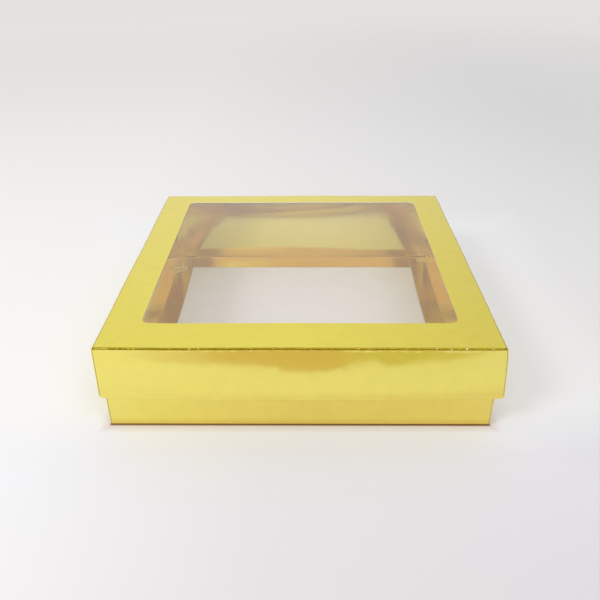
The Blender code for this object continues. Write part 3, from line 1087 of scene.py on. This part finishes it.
def lay_table():
    """A table under plain pale paper, which fades into the background. Its colour holds painted shade: darker to
    the right, and round, in front of and under the box. Mirrors alone see a warm band in front, beyond the paper,
    as a painted reflection."""
    table = stage_object("table", disc("table", 6.0, 0.0))
    tree, spot = new_material("pale matt paper")
    place = add(tree, "ShaderNodeSeparateXYZ", [spot]).outputs
    rays = add(tree, "ShaderNodeLightPath").outputs
    sides = [add(tree, "ShaderNodeMath", [place[axis]], operation="ABSOLUTE") for axis in "XY"]
    beside = add(tree, "ShaderNodeMath", sides, operation="MAXIMUM")
    distance = add(tree, "ShaderNodeVectorMath", [spot], operation="LENGTH").outputs["Value"]

    # The outline of the warm band in front, a painted reflection that mirrors alone see, is uneven
    tiles = add(tree, "ShaderNodeTexVoronoi", {"Vector": spot, "Scale": 1 / (38 * MM)}).outputs["Color"]
    uneven = add(tree, "ShaderNodeSeparateColor", [tiles])
    edge = add(tree, "ShaderNodeMath", [uneven, 0.012, place["Y"]], operation="MULTIPLY_ADD")
    notch = add(tree, "ShaderNodeMath", [place["X"], 0.05, 0.012], operation="COMPARE")
    edge = add(tree, "ShaderNodeMath", [notch, 0.016, edge], operation="MULTIPLY_ADD")

    # Where each change of colour begins and where it is full, and between which amounts
    zone = {"mirrored": rays["Is Glossy Ray"], "to the camera": rays["Is Camera Ray"]}
    for label, *span in (
        ("across", place["X"], -0.20, 0.40),
        ("cool ring", beside, 0.245, 0.125),
        ("warm ring", beside, 0.130, 0.1225, 0.0, 0.6),
        ("contact ring", beside, 0.1237, 0.1229),
        ("in front", place["Y"], -0.10, -0.15),
        ("more to the right", place["X"], -0.18, -0.02, 0.3),
        ("not far in front", place["Y"], -0.50, -0.28),
        ("less when mirrored", zone["mirrored"], 0.0, 1.0, 1.0, 0.3),
        ("under the skirt", beside, 0.172, 0.160),
        ("warmer to the right", place["X"], -0.13, 0.0, 0.2),
        ("edge", edge, -0.215, -0.222),
        ("middle", sides[0], 0.155, 0.135),
        ("tan", place["X"], -0.150, -0.060),
        ("olive", place["X"], 0.020, 0.060),
        ("far", distance, 0.7, 2.2),
    ):
        zone[label] = add(tree, "ShaderNodeMapRange", span)
    for label, *others in (
        ("in front", "more to the right", "not far in front", "less when mirrored"),
        ("under the skirt", "warmer to the right", "mirrored"),
        ("edge", "middle", "mirrored"),
        ("far", "to the camera"),
    ):
        for other in others:
            zone[label] = add(tree, "ShaderNodeMath", [zone[label], zone[other]], operation="MULTIPLY")
    for label in ("cool ring", "warm ring", "contact ring"):
        direct = [zone[label], rays["Is Diffuse Ray"]]
        zone[label] = add(tree, "ShaderNodeMath", direct, operation="SUBTRACT", use_clamp=True)

    # Painted light and shade: darker to the right, and painted cooler round the box against the gold's warm
    # bounce
    #     # light. Close to the box a painted warm shade, under its edge a painted contact shadow, and painted
    #     shade in
    #     # front. What the tray mirrors of it, under the lid's skirt, is painted warmer and darker, more so to
    #     the right
    paper = hex_colour("#FAF9F6")
    for label, shade, blend in (
        ("across", hex_colour("#E7E7E7"), "MIX"),
        ("cool ring", hex_colour("#FAFBFF"), "MIX"),
        ("warm ring", hex_colour("#DCBFBA"), "MIX"),
        ("contact ring", hex_colour("#9A7C52"), "MIX"),
        ("in front", (0.86, 0.85, 0.88, 1), "MULTIPLY"),
        ("under the skirt", (0.93, 0.85, 0.84, 1), "MULTIPLY"),
    ):
        layer = {0: zone[label], 6: paper, 7: shade}
        paper = add(tree, "ShaderNodeMix", layer, data_type="RGBA", blend_type=blend).outputs[2]
    # Painted reflection: the warm band in front, tan to the left and olive to the right, for mirrors alone
    warm = paper
    for label, shade in (("tan", "#D9C2A0"), ("olive", "#D3CB94")):
        layer = {0: zone[label], 6: warm, 7: hex_colour(shade)}
        warm = add(tree, "ShaderNodeMix", layer, data_type="RGBA").outputs[2]
    paper = add(tree, "ShaderNodeMix", {0: zone["edge"], 6: paper, 7: warm}, data_type="RGBA").outputs[2]
    shader = add(tree, "ShaderNodeBsdfPrincipled", {"Base Color": paper, "Roughness": 0.8})
    shader = add(tree, "ShaderNodeMixShader", [zone["far"], shader, add(tree, "ShaderNodeBsdfTransparent")])
    add(tree, "ShaderNodeOutputMaterial", [shader])
    table.data.materials.append(bpy.data.materials["pale matt paper"])


def light_world():
    """A pale, even room, a little darker to the right. What mirrors alone see of it in front, where the camera
    stands, is a painted reflection: olive, paler at eye level and unlit near the table, with one small window.
    What reaches the eye over two mirrors or through the film is painted tan, with painted glints high up."""
    world = bpy.data.worlds.new("pale room")
    bpy.context.scene.world = world
    world.use_nodes = True
    tree = world.node_tree
    tree.nodes.clear()
    facing = add(tree, "ShaderNodeTexCoord").outputs["Generated"]
    way = add(tree, "ShaderNodeSeparateXYZ", [facing]).outputs
    rays = add(tree, "ShaderNodeLightPath").outputs
    aside = add(tree, "ShaderNodeMath", [way["X"]], operation="ABSOLUTE")
    level = add(tree, "ShaderNodeMath", [way["Z"], 0.47], operation="SUBTRACT")
    level = add(tree, "ShaderNodeMath", [level], operation="ABSOLUTE")
    gap = add(tree, "ShaderNodeVectorMath", [facing, (-0.115, -0.88, 0.46)], operation="DISTANCE")
    again = add(tree, "ShaderNodeMath", [rays["Glossy Depth"], 1.0], operation="SUBTRACT")
    again = add(tree, "ShaderNodeMath", [again, rays["Transparent Depth"]], operation="MAXIMUM")
    clear = [rays["Is Glossy Ray"], rays["Diffuse Depth"]]
    clear = add(tree, "ShaderNodeMath", clear, operation="SUBTRACT", use_clamp=True)

    # Where each change of colour begins and where it is full
    part = {"mirrored": rays["Is Glossy Ray"], "clear": clear}
    for label, *span in (
        ("front", way["Y"], 0.0, -0.3),
        ("below the ceiling", way["Z"], 0.92, 0.75),
        ("low", way["Z"], 0.26, 0.14),
        ("level", level, 0.2, 0.14),
        ("window", gap.outputs["Value"], 0.06, 0.03),
        ("twice", again, 0.4, 0.6),
        ("glint", way["Z"], 0.66, 0.74),
        ("aside", aside, 0.14, 0.17),
        ("far aside", aside, 0.38, 0.44),
        ("behind", way["Y"], 0.5, 0.6),
        ("right", way["X"], 0.0, 0.28),
        ("high", way["Z"], 0.36, 0.62),
        ("strength", rays["Is Diffuse Ray"], 0.0, 1.0, 1.0, 0.74),
    ):
        part[label] = add(tree, "ShaderNodeMapRange", span)
    for label, operation, other in (
        ("front", "MULTIPLY", "below the ceiling"),
        ("front", "MAXIMUM", "twice"),
        ("front", "MULTIPLY", "clear"),
        ("glint", "MULTIPLY", "aside"),
        ("far aside", "MULTIPLY", "behind"),
        ("glint", "MAXIMUM", "far aside"),
        ("right", "MULTIPLY", "mirrored"),
        ("high", "MULTIPLY", "mirrored"),
    ):
        part[label] = add(tree, "ShaderNodeMath", [part[label], part[other]], operation=operation)

    # Painted reflections: what mirrors alone see in front, and over two mirrors a painted tan with painted glints
    painted_tan_and_glints = {0: part["glint"], 6: hex_colour("#EBC4BC"), 7: (1.7, 1.6, 1.8, 1)}
    painted_tan_and_glints = add(tree, "ShaderNodeMix", painted_tan_and_glints, data_type="RGBA").outputs[2]
    painted_facade_reflection = hex_colour("#74680C")
    for label, shade in (
        ("level", hex_colour("#CFC39C")),
        ("twice", painted_tan_and_glints),
        ("low", hex_colour("#4A3E1C")),
        ("window", (1.15, 1.1, 1.0, 1)),
    ):
        painted_facade_reflection = add(tree, "ShaderNodeMix", {0: part[label], 6: painted_facade_reflection, 7: shade}, data_type="RGBA").outputs[2]
    room = hex_colour("#F0EEEC")
    for amount, shade, blend in (
        (part["right"], hex_colour("#E0DCD8"), "MIX"),
        (rays["Is Diffuse Ray"], hex_colour("#EFEEF2"), "MIX"),
        (part["high"], (1.0, 1.0, 0.66, 1), "MULTIPLY"),
        (rays["Is Camera Ray"], hex_colour("#E3E1E0"), "MIX"),
        (part["front"], painted_facade_reflection, "MIX"),
    ):
        layer = {0: amount, 6: room, 7: shade}
        room = add(tree, "ShaderNodeMix", layer, data_type="RGBA", blend_type=blend).outputs[2]
    shader = add(tree, "ShaderNodeBackground", [room, part["strength"]])
    add(tree, "ShaderNodeOutputWorld", [shader])


LAMPS = {
    "window light": ((-0.95, -0.85, 1.15), 0.45, 6.0, True),
    "room light": ((0.5, -1.6, 2.2), 2.0, 20.0, False),
}


def hang_lights():
    """A soft light from the front left, and a wide one from the room behind the camera."""
    for name, (place, size, power, mirrored) in LAMPS.items():
        lamp = bpy.data.lights.new(name, "AREA")
        lamp.size = size
        lamp.energy = power
        made = bpy.data.objects.new(name, lamp)
        bpy.context.scene.collection.objects.link(made)
        made.location = place
        made.rotation_euler = (-made.location).to_track_quat("-Z", "Y").to_euler()
        made.visible_glossy = mirrored

    # The foil walls mirror each other many times over
    light_paths = bpy.context.scene.cycles
    light_paths.max_bounces = 16
    light_paths.glossy_bounces = 12


def place_camera():
    """The photograph's view: a lens of 38.2 mm on a 36 mm frame, held 30 degrees above the table."""
    place = (0.00465, -0.4378, 0.2796)
    pitch, yaw, roll = 0.5317, -0.0124, -0.0065
    lens = bpy.data.cameras.new("camera")
    lens.sensor_width = 36.0
    lens.lens = 38.2
    lens.clip_start, lens.clip_end = 0.01, 50.0
    made = bpy.data.objects.new("camera", lens)
    bpy.context.scene.collection.objects.link(made)
    forward = Vector((sin(yaw) * cos(pitch), cos(yaw) * cos(pitch), -sin(pitch)))
    level = Vector((cos(yaw), -sin(yaw), 0))
    upward = level.cross(forward)
    right = cos(roll) * level + sin(roll) * upward
    upward = right.cross(forward)
    turn = Matrix((right, upward, -forward)).transposed().to_4x4()
    made.matrix_world = Matrix.Translation(place) @ turn
    bpy.context.scene.camera = made


class GIFTBOX_PT_panel(bpy.types.Panel):
    """Sizes and steps of the gift box"""

    bl_label = "Window gift box"
    bl_idname = "GIFTBOX_PT_panel"
    bl_space_type = "VIEW_3D"
    bl_region_type = "UI"
    bl_category = "Gift box"

    def draw(self, context):
        for group in ("gift_box", "gift_box_shape", "gift_box_finish"):
            values = getattr(context.scene, group)
            for name in values.bl_rna.properties.keys():
                if name not in ("rna_type", "name"):
                    self.layout.prop(values, name)
        for step in STEPS:
            self.layout.operator(step.bl_idname)


GROUPS = {"gift_box": BoxSizes, "gift_box_shape": BoxShape, "gift_box_finish": BoxFinish}
STEPS = (
    GIFTBOX_OT_materials,
    GIFTBOX_OT_lid_top,
    GIFTBOX_OT_lid_walls,
    GIFTBOX_OT_window,
    GIFTBOX_OT_tray_floor,
    GIFTBOX_OT_tray_walls,
    GIFTBOX_OT_corner_tabs,
    GIFTBOX_OT_stage,
)


def register():
    for group in (*GROUPS.values(), *STEPS, GIFTBOX_PT_panel):
        bpy.utils.register_class(group)
    for name, group in GROUPS.items():
        setattr(bpy.types.Scene, name, PointerProperty(type=group))
    bpy.context.scene.view_settings.view_transform = "Standard"


def unregister():
    for name in GROUPS:
        delattr(bpy.types.Scene, name)
    for group in reversed((*GROUPS.values(), *STEPS, GIFTBOX_PT_panel)):
        bpy.utils.unregister_class(group)


def main():
    register()
    for step in STEPS:
        area, name = step.bl_idname.split(".")
        getattr(getattr(bpy.ops, area), name)()


if __name__ == "__main__":
    main()
